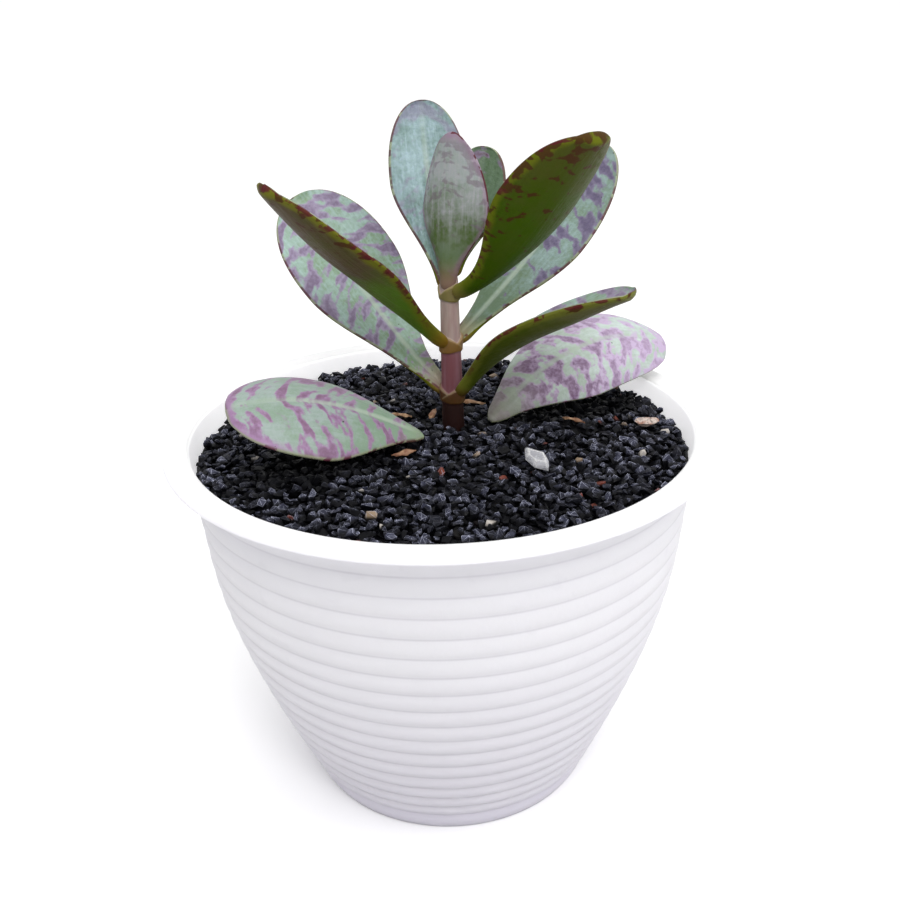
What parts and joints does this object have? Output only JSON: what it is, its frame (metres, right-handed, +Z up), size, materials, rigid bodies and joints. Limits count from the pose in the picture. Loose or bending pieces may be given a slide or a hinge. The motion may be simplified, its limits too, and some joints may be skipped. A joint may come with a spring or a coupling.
{
  "type": "potted kalanchoe",
  "caption": "Young purple-barred kalanchoe with fleshy paddle leaves in a ringed white plastic pot dressed with black grit.",
  "frame": {"origin": "centre of the pot's foot, on the surface it stands on", "axes": "+Z up along the pot's axis, -Y towards the side that the picture was taken from, +X to that view's right"},
  "size_m": [0.16, 0.16, 0.2013],
  "materials": {
    "pot_plastic": "moulded white plastic, satin, with a faint cool shade",
    "potting_mix": "dark brown damp potting mix of bark and peat",
    "black_grit": "blue-black crushed volcanic grit with a slight sheen",
    "stem_skin": "smooth mauve-brown fleshy stem",
    "leaf_skin": "waxy blue-green with purple bars above, olive green below",
    "clear_mineral": "clear colourless splinter with frosted edges",
    "pale_stone": "pale pinkish stone",
    "dry_husk": "dry brown husk"
  },
  "bodies": {
    "root": {"pot": "pot_plastic", "potting_mix": "potting_mix", "grit": "black_grit", "stem": "stem_skin", "leaf_pair1_left": "leaf_skin", "leaf_pair1_right": "leaf_skin", "leaf_pair2_left": "leaf_skin", "leaf_pair2_right": "leaf_skin", "leaf_pair3_back": "leaf_skin", "leaf_pair3_front": "leaf_skin", "leaf_tip_front": "leaf_skin", "leaf_tip_back": "leaf_skin", "leaf_low_left": "leaf_skin", "leaf_low_right": "leaf_skin", "clear_chip": "clear_mineral", "pale_pebble": "pale_stone", "husk_1": "dry_husk", "husk_2": "dry_husk", "husk_3": "dry_husk", "husk_4": "dry_husk", "husk_5": "dry_husk"}
  },
  "joints": []
}
